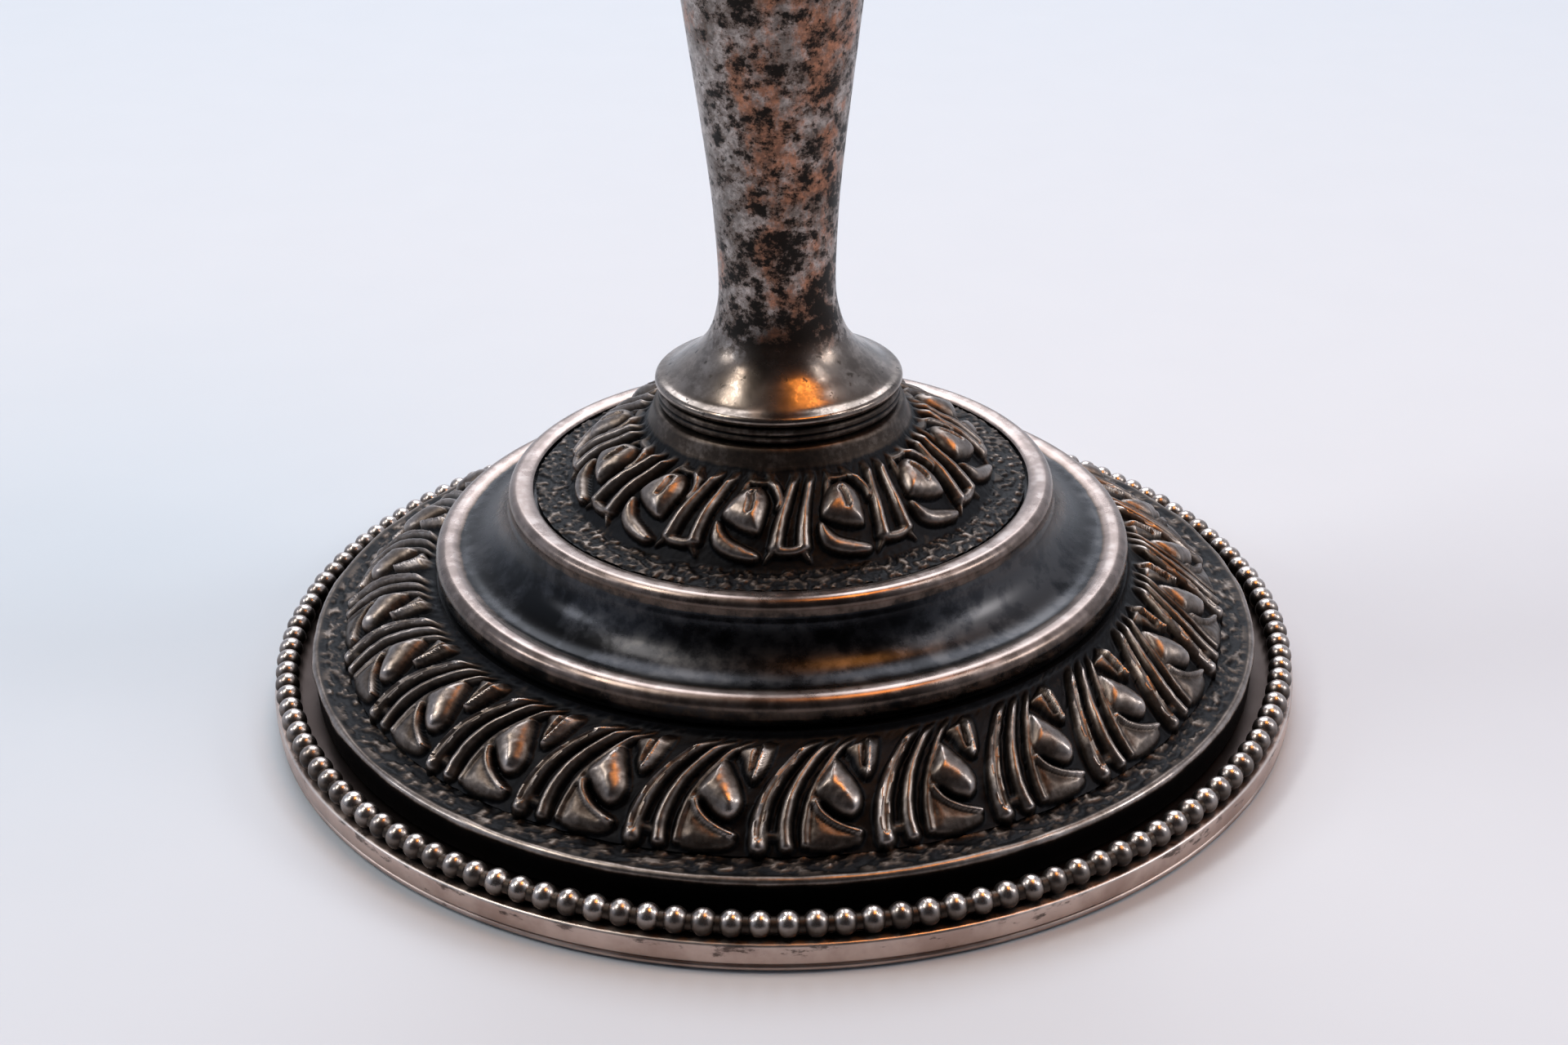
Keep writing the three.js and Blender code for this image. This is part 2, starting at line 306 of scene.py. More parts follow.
def wide_leaf(x, y):
    """A leaf of three lobes and two ribs, for the foot's lower band. x runs round it, y inwards."""
    corners = [(-2.6, 0.9), (-2.7, 3.2), (-2.5, 6.0), (-1.5, 5.0), (-0.1, 3.9), (1.5, 3.0), (3.2, 2.4)]
    hook = lobe(x, y, corners + [(3.2, 1.0), (1.6, 0.3), (-1.2, 0.2)], 1.1, 2.3)
    crest = [(-2.2, 5.6), (-1.2, 4.4), (0.2, 3.3), (1.6, 2.55), (2.9, 2.0)]
    hook = np.maximum(hook, stroke(x, y, crest, 0.5, 1.3))
    corners = [(-2.7, 6.4), (-3.0, 8.4), (-2.9, 10.4), (-1.8, 10.1), (-0.1, 8.9), (1.6, 7.5), (3.0, 5.7)]
    bulb = lobe(x, y, corners + [(3.0, 4.2), (2.0, 3.5), (0.5, 4.1), (-1.3, 5.4)], 1.85, 2.2)
    corners = [(-2.8, 11.6), (-1.0, 10.4), (0.7, 8.9), (2.1, 7.9), (3.1, 7.8), (2.8, 9.6), (1.6, 11.5)]
    fork = lobe(x, y, corners + [(0.3, 12.9), (-1.0, 13.2), (-2.0, 12.4)], 1.2, 1.5)
    fork -= stroke(x, y, [(-0.9, 12.4), (0.4, 10.8), (1.5, 9.4)], 0.45, 0.6)
    ridge = stroke(x, y, [(-1.2, 12.9), (0.4, 11.4), (1.7, 9.6), (2.5, 8.1)], 0.4, 1.4)
    side = [(-2.5, 1.2), (-2.6, 4.0), (-2.8, 6.3), (-3.0, 9.0), (-3.3, 11.2), (-3.5, 13.0)]
    margin = stroke(x, y, side, 0.62, 1.0)
    first_rib = stroke(x, y, [(5.5, 1.0), (5.35, 3.0), (5.1, 7.0), (4.7, 12.8)], 1.15, 1.3, 1.0, 0.8)
    first_rib -= stroke(x, y, [(5.5, 1.8), (5.35, 4.0), (5.1, 7.5), (4.8, 11.0)], 0.32, 0.4)
    second_rib = stroke(x, y, [(8.2, 1.0), (7.95, 3.0), (7.5, 7.5), (6.9, 12.8)], 0.92, 1.15, 0.85, 0.8)
    corners = [(4.8, 0.6), (5.0, 3.0), (5.6, 4.4), (6.4, 2.8), (7.4, 2.6), (8.4, 1.8), (8.6, 0.6)]
    web = lobe(x, y, corners + [(6.7, 1.5)], 0.7, 0.9)
    return np.maximum.reduce([hook, bulb, fork, ridge, margin, first_rib, second_rib, web])


def narrow_leaf(x, y):
    """An egg with its hook and two joined ribs, for the foot's upper band, in the same directions."""
    corners = [(-2.9, 6.0), (-3.0, 8.0), (-2.3, 9.8), (-0.5, 10.3), (1.0, 9.5), (2.2, 8.0), (2.7, 6.0)]
    egg = lobe(x, y, corners + [(2.7, 4.0), (1.2, 4.0), (-0.8, 4.7), (-2.1, 5.3)], 1.8, 2.3)
    egg -= stroke(x, y, [(-0.6, 8.8), (0.1, 7.6), (0.5, 6.4)], 0.4, 0.45)
    corners = [(-3.1, 5.2), (-2.7, 3.2), (-1.5, 1.7), (0.6, 0.8), (2.8, 0.6), (3.3, 1.7), (1.4, 2.7)]
    hook = lobe(x, y, corners + [(-0.3, 3.4), (-1.4, 4.3), (-2.3, 5.2)], 1.2, 1.0)
    top = [(-0.6, 13.0), (0.6, 11.2), (2.1, 10.0), (3.3, 8.6), (3.7, 7.4)]
    crown = stroke(x, y, top, 0.7, 1.15, None, 0.8)
    outer = stroke(x, y, [(-3.2, 13.0), (-2.6, 11.4), (-1.2, 11.0), (0.2, 11.0)], 0.6, 0.9)
    left_rib = stroke(x, y, [(4.8, 2.5), (4.6, 5.0), (4.4, 8.0), (3.8, 13.0)], 1.0, 1.25, 0.9, 0.8)
    right_rib = stroke(x, y, [(7.8, 2.5), (7.4, 5.0), (7.0, 8.0), (6.3, 13.0)], 0.95, 1.2, 0.85, 0.8)
    join = stroke(x, y, [(4.5, 2.6), (5.3, 2.1), (6.8, 2.05), (8.0, 2.5)], 0.75, 1.05)
    corners = [(3.7, 0.6), (4.3, 2.6), (6.1, 2.4), (8.0, 2.6), (8.7, 0.6), (7.5, 1.4), (6.1, 1.7)]
    feet = lobe(x, y, corners + [(4.8, 1.4)], 0.75, 0.8)
    corners = [(9.3, 6.4), (8.9, 9.0), (8.7, 11.6), (9.6, 11.6), (10.3, 9.4), (10.2, 7.0)]
    bud = lobe(x, y, corners, 0.8, 1.0)
    return np.maximum.reduce([egg, hook, crown, outer, left_rib, right_rib, join, feet, bud])


def leaf_band(leaf, repeats, columns, rows_y, radius, depth, grow=1.0, turn=0.0):
    """The relief of a whole band, with a leaf drawn at the given scale and repeated round the piece.

    The leaves fade out towards their depth, and the band starts at a turn in degrees.
    """
    fade = 2.4
    per_leaf = columns // repeats
    pitch = 2 * math.pi * radius / repeats
    x = (np.arange(per_leaf) / per_leaf * pitch)[None, :] / grow
    y = np.asarray(rows_y)[:, None] / grow
    x, y = np.broadcast_arrays(x, y)
    cell = np.maximum.reduce([leaf(x + shift * pitch / grow, y) for shift in (-1, 0, 1)])
    cell = cell * (1 - smooth_step(depth - fade, depth, y)) * grow
    return np.roll(np.tile(cell, (1, repeats)), round(turn / 360 * columns), axis=1)


def granules(rows, columns, height):
    """A punched ground of small irregular grains."""
    field = random.standard_normal((rows, columns))
    grains = softened(field, 1, 1)
    grains = grains / grains.std() + 0.4 * field
    return height * np.clip(grains, -1.5, 1.5)


def gadroons(rows, columns, count, height):
    """Round lobes side by side, cut into a surface and fading out at both ends."""
    along = np.linspace(0, 1, rows)
    phase = np.linspace(0, count * math.pi, columns, endpoint=False)
    lobes = np.abs(np.sin(phase)) ** 0.7
    fade = smooth_step(0, 0.16, along) * (1 - smooth_step(0.84, 1, along))
    return height * (lobes[None, :] * fade[:, None] - fade[:, None])


def swirled(rows_y, reach, total, power):
    """The turn of each row of a band in degrees, none at the leaf tips."""
    return total * np.clip(np.asarray(rows_y) / reach, 0, 1.1) ** power


# ---- Materials ----

# The sockets that a Mix node uses for colours.
MIX_A, MIX_B, MIX_RESULT = 6, 7, 2


class Nodes:
    """Makes and links shader nodes. An input is a number, a colour or another node's socket."""

    def __init__(self, tree):
        self.tree = tree

    def set(self, node, socket, value):
        target = node.inputs[socket]
        if isinstance(value, bpy.types.NodeSocket):
            self.tree.links.new(value, target)
        elif isinstance(value, tuple) and len(value) == 3 and target.type == "RGBA":
            target.default_value = (*value, 1)
        else:
            target.default_value = value

    def node(self, kind, inputs, output=0, **settings):
        made = self.tree.nodes.new("ShaderNode" + kind)
        for key, value in settings.items():
            setattr(made, key, value)
        for socket, value in inputs.items():
            self.set(made, socket, value)
        return made.outputs[output]

    def math(self, operation, a, b=0.0):
        return self.node("Math", {0: a, 1: b}, operation=operation)

    def along(self, direction, aim):
        """How far a direction lies along an aim, both of length 1."""
        return self.node("VectorMath", {0: direction, 1: aim}, "Value", operation="DOT_PRODUCT")

    def between(self, value, low, high, to_low=0.0, to_high=1.0):
        """The value mapped smoothly from one range onto another."""
        inputs = {"Value": value, "From Min": low, "From Max": high, "To Min": to_low, "To Max": to_high}
        return self.node("MapRange", inputs, interpolation_type="SMOOTHSTEP")

    def blend(self, amount, a, b):
        inputs = {"Factor": amount, MIX_A: a, MIX_B: b}
        return self.node("Mix", inputs, MIX_RESULT, data_type="RGBA")


class Finish(Nodes):
    """A material with one Principled shader, on which everything else is built up."""

    def __init__(self, name, **sockets):
        self.material = bpy.data.materials.new(name)
        self.material.use_nodes = True
        super().__init__(self.material.node_tree)
        self.shader = self.tree.nodes["Principled BSDF"]
        self.where = self.node("TexCoord", {}, "Object")
        self.finish(**sockets)

    def wear_and_painted_light(self):
        return self.node("Attribute", {}, "Fac", attribute_name="wear_and_painted_light")

    def height(self):
        """The height in metres."""
        return self.node("SeparateXYZ", {"Vector": self.where}, "Z")

    def facing(self, aim):
        """How far the way out from the upright axis lies along an aim, from -1 to 1."""
        flat = (1.0, 1.0, 0.0)
        level = self.node("VectorMath", {0: self.where, 1: flat}, operation="MULTIPLY")
        out = self.node("VectorMath", {0: level}, operation="NORMALIZE")
        return self.along(out, aim)

    def noise(self, scale, detail=4.0, roughness=0.55, stretch=None, seed=0.0):
        where = self.where
        if stretch:
            where = self.node("Mapping", {"Vector": where, "Scale": stretch})
        inputs = {"Vector": where, "Scale": scale, "Detail": detail, "Roughness": roughness, "W": seed}
        return self.node("TexNoise", inputs, "Fac", noise_dimensions="4D")

    def shifted(self, value, by, low, high, to_low, to_high):
        """A value raised or lowered by another one, mapped onto a range."""
        return self.math("ADD", value, self.between(by, low, high, to_low, to_high))

    def ramp(self, value, stops):
        """Colours at places from 0 to 1, blended between each two."""
        made = self.tree.nodes.new("ShaderNodeValToRGB")
        elements = made.color_ramp.elements
        while len(elements) < len(stops):
            elements.new(0.5)
        for element, (at, colour) in zip(elements, stops):
            element.position = at
            element.color = (*colour, 1)
        self.set(made, "Fac", value)
        return made.outputs["Color"]

    def bump(self, height, strength, distance, normal=None):
        inputs = {"Height": height, "Strength": strength, "Distance": distance * MM}
        if normal is not None:
            inputs["Normal"] = normal
        return self.node("Bump", inputs, "Normal")

    def scratches(self, scale, length, strength):
        """A normal with fine lines round the piece, which are longer than they are high."""
        lines = self.noise(scale, 4.0, 0.65, stretch=(1.0, 1.0, length), seed=9.0)
        return self.bump(lines, strength, 0.02)

    def finish(self, **sockets):
        for socket, value in sockets.items():
            self.set(self.shader, socket.replace("_", " "), value)
        return self.material


BLACK_TARNISH = (0.010, 0.010, 0.011)
BROWN_TARNISH = (0.048, 0.036, 0.029)
BRIGHT_SILVER = (0.66, 0.60, 0.565)
GREY_PLATE = [(0.150, 0.122, 0.106), (0.37, 0.318, 0.292)]
ROSY_PLATE = [(0.138, 0.102, 0.086), (0.34, 0.270, 0.242)]
COPPER_AND_WARM_REFLECTION = (0.42, 0.175, 0.095)
# The side of the stem that is worn most. The copper patches that gather there are partly a painted warm
# reflection.
WORN_AND_WARM_REFLECTION_SIDE = (0.35, -0.94, 0.0)


def tarnished_silver(name, plate, shine, patchy, grain=0.5):
    """Silver plate that follows the mesh's wear and the painted light it carries: black in hollows, brown
    between, bright on crests.
    """
    made = Finish(name, Metallic=1.0)
    patches = made.noise(240.0, 5.0, 0.6)
    specks = made.noise(1500.0, 3.0, 0.6, seed=2.0)
    wear_and_painted_light = made.shifted(made.wear_and_painted_light(), patches, 0.25, 0.75, -patchy, patchy)
    wear_and_painted_light = made.shifted(wear_and_painted_light, specks, 0.3, 0.7, -0.4 * patchy, 0.4 * patchy)
    dull, worn_and_lit = plate
    stops = [(0.16, BLACK_TARNISH), (0.36, BROWN_TARNISH), (0.52, dull), (0.72, worn_and_lit)]
    stops += [(0.95, BRIGHT_SILVER)]
    rough = made.shifted(made.between(wear_and_painted_light, 0.2, 0.75, 0.46, shine), specks, 0.3, 0.7, 0.0, 0.07)
    normal = made.scratches(900.0, 3.0, grain)
    return made.finish(Base_Color=made.ramp(wear_and_painted_light, stops), Roughness=rough, Normal=normal)


def smoked_cove():
    """The polished hollow: gunmetal black with paler smudges that are partly painted reflections, and the
    bright rings at its edges, painted paler on top and darker down their outer sides.
    """
    made = Finish("smoked cove plate", Metallic=1.0)
    # The paler smudges are tarnish and, in part, painted reflections on the polished hollow.
    smudges_and_reflections = made.noise(45.0, 6.0, 0.55, stretch=(1.0, 1.0, 1.6), seed=5.0)
    spots = made.noise(420.0, 4.0, 0.6, seed=6.0)
    dirt_and_reflections = made.shifted(made.between(smudges_and_reflections, 0.3, 0.7), spots, 0.35, 0.65, -0.25, 0.25)
    smoke_and_reflections = [(0.2, (0.012, 0.012, 0.013)), (0.6, (0.030, 0.030, 0.033)), (0.95, (0.060, 0.058, 0.060))]
    worn_and_lit = made.shifted(made.wear_and_painted_light(), spots, 0.3, 0.7, -0.07, 0.07)
    dull, bright = ROSY_PLATE
    ring = [(0.38, BROWN_TARNISH), (0.52, dull), (0.74, bright), (0.95, BRIGHT_SILVER)]
    colour = made.blend(made.between(worn_and_lit, 0.32, 0.42), made.ramp(dirt_and_reflections, smoke_and_reflections), made.ramp(worn_and_lit, ring))
    rough = made.between(dirt_and_reflections, 0.2, 0.9, 0.24, 0.32)
    return made.finish(Base_Color=colour, Roughness=rough, Normal=made.scratches(800.0, 4.0, 0.4))


def rosy_rim():
    """Plate on the flat edge, so thin that the copper tints it, with dark scuffs on its upper part."""
    made = Finish("rosy rim plate", Metallic=1.0)
    wear_and_painted_light = made.wear_and_painted_light()
    patches = made.noise(110.0, 5.0, 0.6)
    rosy = made.blend(made.between(patches, 0.35, 0.65), (0.38, 0.275, 0.235), (0.60, 0.475, 0.42))
    scuffs = made.noise(210.0, 6.0, 0.68, stretch=(1.0, 1.0, 2.5), seed=8.0)
    scuffs = made.shifted(scuffs, made.height(), 0.0016, 0.0030, -0.03, 0.05)
    scuffs = made.between(scuffs, 0.575, 0.66, 0.0, 0.8)
    dark = made.math("MAXIMUM", scuffs, made.between(wear_and_painted_light, 0.55, 0.2))
    colour = made.blend(dark, rosy, (0.04, 0.028, 0.024))
    colour = made.blend(made.between(wear_and_painted_light, 0.8, 0.95, 0.0, 0.6), colour, BRIGHT_SILVER)
    rough = made.between(patches, 0.3, 0.7, 0.30, 0.44)
    return made.finish(Base_Color=colour, Roughness=rough, Normal=made.scratches(900.0, 5.0, 0.5))


def stem_metal(made, grains):
    """Cloudy, finely grained silver, worn through to copper in patches, most of them at the front, where
    they are partly a painted warm reflection.
    """
    cloud = made.between(made.noise(260.0, 7.0, 0.7), 0.36, 0.62)
    silver = made.blend(cloud, (0.20, 0.172, 0.155), (0.48, 0.42, 0.39))
    patch_and_reflection = made.noise(150.0, 9.0, 0.74, stretch=(1.0, 1.0, 0.7), seed=3.0)
    # Painted reflection: copper patches gather towards the front right, partly standing for a warm
    # reflection there as well as wear.
    patch_and_reflection = made.shifted(patch_and_reflection, made.facing(WORN_AND_WARM_REFLECTION_SIDE), 0.4, 0.97, -0.07, 0.062)
    worn_and_lit = made.blend(made.between(patch_and_reflection, 0.49, 0.60, 0.0, 0.9), silver, COPPER_AND_WARM_REFLECTION)
    return made.blend(made.between(grains, 0.60, 0.36, 0.0, 0.65), worn_and_lit, (0.07, 0.050, 0.042))


def stem_blots(made, grains):
    """Where the black blotches lie: fewer at the back, more of them at the waist."""
    blots = made.noise(360.0, 9.0, 0.72, stretch=(1.0, 1.0, 1.2), seed=7.0)
    blots = made.shifted(blots, made.facing(WORN_AND_WARM_REFLECTION_SIDE), -0.3, 0.8, -0.06, 0.022)
    blots = made.shifted(blots, made.height(), 0.046, 0.060, 0.06, 0.0)
    return made.shifted(blots, grains, 0.3, 0.7, -0.045, 0.045)


def mottled_stem():
    """Worn plate with soft black blotches and fine speckles all over, rubbed clean on the flared lip."""
    made = Finish("mottled stem plate", Metallic=1.0)
    grains = made.noise(1300.0, 4.0, 0.7, seed=4.0)
    lip = made.between(made.height(), 0.0430, 0.0475, 1.0, 0.0)
    blots = stem_blots(made, grains)
    stained = made.between(blots, 0.46, 0.56, 0.0, 0.75)
    stained = made.blend(stained, stem_metal(made, grains), (0.10, 0.062, 0.046))
    smear = made.between(made.noise(180.0, 5.0, 0.6, seed=8.0), 0.35, 0.65)
    rubbed = made.blend(smear, (0.13, 0.105, 0.088), (0.34, 0.285, 0.248))
    colour = made.blend(made.math("MULTIPLY", lip, 0.85), stained, rubbed)
    kept = made.between(lip, 0.0, 1.0, 0.95, 0.30)
    black = made.math("MULTIPLY", made.between(blots, 0.51, 0.60), kept)
    specks = made.noise(800.0, 3.0, 0.6, seed=12.0)
    black = made.math("MAXIMUM", black, made.between(specks, 0.60, 0.68, 0.0, 0.75))
    colour = made.blend(black, colour, (0.014, 0.013, 0.012))
    rough = made.between(black, 0.0, 1.0, 0.34, 0.5)
    rough = made.math("SUBTRACT", rough, made.math("MULTIPLY", lip, 0.13))
    normal = made.bump(made.noise(700.0, 4.0, 0.6, seed=6.0), 0.4, 0.03)
    return made.finish(Base_Color=colour, Roughness=rough, Normal=normal)


def plain_metal(name, colour, dull, roughness):
    """Bare metal with duller patches and marks round it."""
    made = Finish(name, Metallic=1.0)
    patches = made.noise(160.0, 5.0, 0.6)
    shade = made.blend(made.between(patches, 0.35, 0.65), colour, dull)
    rough = made.between(patches, 0.3, 0.7, roughness - 0.08, roughness + 0.12)
    marks = made.noise(800.0, 3.0, 0.6, stretch=(1.0, 1.0, 6.0), seed=1.0)
    return made.finish(Base_Color=shade, Roughness=rough, Normal=made.bump(marks, 0.4, 0.02))


def hard_pitch():
    """Black pitch, shiny where it is smooth."""
    made = Finish("hard pitch", Metallic=0.0)
    lumps = made.noise(240.0, 5.0, 0.6)
    colour = made.blend(lumps, (0.010, 0.008, 0.007), (0.035, 0.027, 0.022))
    rough = made.between(lumps, 0.3, 0.7, 0.25, 0.6)
    return made.finish(Base_Color=colour, Roughness=rough, Normal=made.bump(lumps, 0.6, 0.3))


def woollen_baize():
    """Green cloth with short fibres and small pills."""
    made = Finish("woollen baize", Metallic=0.0)
    made.finish(Sheen_Weight=0.45, Sheen_Roughness=0.5, Sheen_Tint=(0.5, 0.75, 0.5))
    fibres = made.noise(1700.0, 6.0, 0.7)
    pills = made.noise(420.0, 4.0, 0.6, seed=2.0)
    colour = made.blend(made.between(fibres, 0.3, 0.7), (0.012, 0.055, 0.022), (0.045, 0.15, 0.065))
    colour = made.blend(made.between(pills, 0.45, 0.75, 0.0, 0.5), colour, (0.02, 0.07, 0.03))
    normal = made.bump(fibres, 0.8, 0.12, made.bump(pills, 0.6, 0.25))
    return made.finish(Base_Color=colour, Roughness=0.95, Normal=normal)


relief_plate = tarnished_silver("embossed plate", GREY_PLATE, shine=0.25, patchy=0.09)
cove_plate = smoked_cove()
collar_plate = tarnished_silver("collar plate", GREY_PLATE, shine=0.34, patchy=0.14, grain=1.0)
rim_plate = rosy_rim()
bead_plate = tarnished_silver("bead plate", GREY_PLATE, shine=0.23, patchy=0.05, grain=0.25)
satin_plate = tarnished_silver("satin plate", ROSY_PLATE, shine=0.28, patchy=0.10)
stem_plate = mottled_stem()
dull_steel = plain_metal("dull steel", (0.42, 0.42, 0.43), (0.20, 0.175, 0.155), 0.42)
dull_brass = plain_metal("dull brass", (0.60, 0.46, 0.23), (0.30, 0.20, 0.10), 0.36)
pitch_black = hard_pitch()
green_baize = woollen_baize()


# ---- Foot ----

SHEET = 1.2
ROD_HOLE = 3.6
LOWER_LEAVES, LOWER_TURN = 25, -9.4
UPPER_LEAVES, UPPER_TURN = 12, -14.0
SMALL_LEAVES = 10
LEAF_BASE = 0.13


def foot_rim():
    radius, low, top = extent("foot_rim")
    outline = Outline("foot_rim", 384)
    outline.above([(-1.5, 0), (-0.6, 0)], 0.3)
    outline.stretch(arc((radius - 0.55, low + 0.38), 0.38, -90, 80, 6), 0.45)
    outline.above([(-0.52, 0.9), (-0.4, 0.98)], 0.25)
    outline.stretch(arc((radius - 0.3, low + 1.25), 0.25, -60, 0, 3), 0.6)
    outline.above([(0, 2.0), (0, 2.6)], 0.7)
    outline.stretch(arc((radius - 0.35, top - 0.35), 0.35, 0, 90, 4), [0.75, 0.85, 0.95, 0.9, 0.8])
    outline.below([(-0.9, 0), (-1.5, 0), (-2.5, 0)], [0.5, 0.3, 0.2])
    web = [(-3.5, 0), (-4.7, 0), (-9.5, 0), (-9.5, -SHEET), (-1.5, -SHEET)]
    outline.below(web, 0)
    place(turned("rim_shell", outline, rim_plate), "foot_rim")


def unit_ball(rings, sides):
    """The points and faces of a ball, with its poles last."""
    tilt = np.linspace(0, math.pi, rings + 1)[1:-1]
    turn = np.linspace(0, 2 * math.pi, sides, endpoint=False)
    tilt, turn = (angle.ravel() for angle in np.meshgrid(tilt, turn, indexing="ij"))
    ball = np.column_stack([np.sin(tilt) * np.cos(turn), np.sin(tilt) * np.sin(turn), np.cos(tilt)])
    ball = np.vstack([ball, [[0, 0, 1], [0, 0, -1]]])
    last = (rings - 2) * sides
    faces = []
    for side in range(sides):
        after = (side + 1) % sides
        for row in range(0, last, sides):
            faces.append([row + side, row + sides + side, row + sides + after, row + after])
        faces.append([len(ball) - 2, side, after])
        faces.append([last + side, len(ball) - 1, last + after])
    return ball, faces


def bead_border(name, node, count, bead_radius, fillet_radius, body):
    """A border of round beads on a thin fillet of solder."""
    radius, low, high = extent(node)
    ring = radius - 1.05 * bead_radius
    ball, faces = unit_ball(12, 18)
    points, all_faces, wear_and_painted_light = [], [], []
    for index in range(count):
        angle = 2 * math.pi * index / count
        size = bead_radius * (1 + 0.02 * random.standard_normal())
        out = np.array([math.sin(angle), -math.cos(angle), 0])
        side = np.array([math.cos(angle), math.sin(angle), 0])
        axes = np.array([side * 0.97, out, [0, 0, 1]])
        points.append(ball @ axes * size + out * ring + [0, 0, high - bead_radius])
        all_faces += [[corner + index * len(ball) for corner in face] for face in faces]
        # Painted light: each bead is paler on top as a painted highlight, and darker underneath and where
        # it faces its neighbours as painted shade.
        shade = 0.44 + 0.40 * ball[:, 2] - 0.20 * np.abs(ball[:, 0]) ** 3
        wear_and_painted_light.append(np.clip(shade + 0.05 * random.standard_normal(), 0, 1))
    points, wear_and_painted_light = np.concatenate(points), np.concatenate(wear_and_painted_light)
    place(mesh_object(name, points, all_faces, bead_plate, wear_and_painted_light, 180), node, body)
    fillet = Outline(node, 384)
    fillet.stretch(arc((ring, low + fillet_radius), fillet_radius, -90, 234, 9), 0.34)
    place(turned(name + "_fillet", fillet, bead_plate, sharp=180), node, body)


def dome_edge():
    """The dome's upright edge, its bright rounded lip and the punched ground inside it."""
    radius, low, _ = extent("foot_dome")
    columns = 1100
    outline = Outline("foot_dome", columns)
    # The upright wall is black: tarnish, and painted shade under the overhanging lip.
    outline.above([(-1.8, 0), (-0.3, 0), (-0.25, 1.2), (-0.2, 2.6)], 0)
    lip = spaced(arc((radius - 0.65, low + 3.55), 0.62, -20, 110, 10), 0.14)
    dents = softened(random.standard_normal((1, columns)), 0, 5)
    uneven = np.repeat(0.06 * dents / dents.std(), len(lip), axis=0)
    outline.stretch(lip, 0.22 + 0.42 * np.sin(np.linspace(0, math.pi, len(lip))), uneven)
    ground = spaced(offset([(-1.15, 4.08), (-1.6, 3.92), (-3.6, 3.95), (-4.3, 4.05)], radius, low), 0.22)
    outline.embossed(ground[1:], granules(len(ground) - 1, columns, 0.10), 0.16, None, 1.3)
    outline.above([(-4.6, 3.5), (-2.2, 2.8)], 0.05)
    place(turned("dome_edge", outline, relief_plate, 70), "foot_dome")


def dome_band():
    """The lower band of leaves, on a sheet that rises inwards to the cove."""
    radius, low, _ = extent("foot_dome")
    columns = LOWER_LEAVES * 56
    outline = Outline("foot_dome", columns)
    knots = [(-4.1, 4.2), (-5.2, 5.1), (-8.8, 8.1), (-12.2, 9.9), (-15.3, 11.15), (-15.85, 11.8)]
    bed = spaced(curve(offset(knots, radius, low)), 0.23)
    y = length_along(bed)
    relief = leaf_band(wide_leaf, LOWER_LEAVES, columns, y, radius - 8.6, depth=13.8, turn=LOWER_TURN)
    relief += granules(len(bed), columns, 0.02)
    outline.embossed(bed, relief, LEAF_BASE, swirled(y - 0.9, 12.5, 9.0, 2.2))
    back = [(-15.9, 12.05), (-18.1, 12.1), (-18.1, 10.9), (-15.4, 10.0), (-9.4, 7.0), (-5.0, 3.6)]
    outline.unwound(back, 0.05)
    place(turned("dome_leaf_band", outline, relief_plate, 70), "foot_dome")


def foot_cove():
    """Two rounded mouldings with a deep hollow between them."""
    radius, low, high = extent("foot_cove")
    hollow, hollow_radius = (radius - 3.3, high - 1.5), 5.9
    outline = Outline("foot_cove", 384)
    edge = [(-1.4, 0), (-0.4, 0), (-0.15, 0.3), (-0.05, 1.1)]
    outline.above(edge, [0, 0.1, 0.2, 0.4])
    # Painted light: the lower ring runs from brown down its outer side to pale on top, as painted shade
    # and reflection over some tarnish.
    outline.stretch(arc((radius - 1.4, low + 2.0), 1.4, 0, 96, 14), np.linspace(0.40, 0.74, 15))
    outline.above([(-2.0, 3.38), (-2.4, 3.3), (-2.7, 3.1)], [0.74, 0.72, 0.6])
    outline.stretch(arc(hollow, hollow_radius, 268, 190, 30), 0.15)
    outline.below([(-9.25, -2.25), (-9.3, -1.9)], [0.15, 0.4])
    # Painted light: the upper ring runs from brown down its outer side to pale on top, as painted shade
    # and reflection over some tarnish.
    outline.stretch(arc((radius - 10.5, high - 1.15), 1.12, -10, 100, 14), np.linspace(0.44, 0.75, 15))
    fillet = [(-11.2, -0.05), (-12.0, -0.2), (-12.35, -0.45)]
    outline.below(fillet, [0.74, 0.72, 0.62])
    seat = [(-12.4, -1.6), (-16.1, -1.6), (-16.1, -2.8), (-11.2, -2.8)]
    outline.below(seat, 0)
    outline.stretch(arc(hollow, hollow_radius + SHEET, 194, 268, 12), 0)
    outline.above([(-2.0, 1.8), (-1.4, 1.3)], 0)
    place(turned("cove_spinning", outline, cove_plate), "foot_cove")


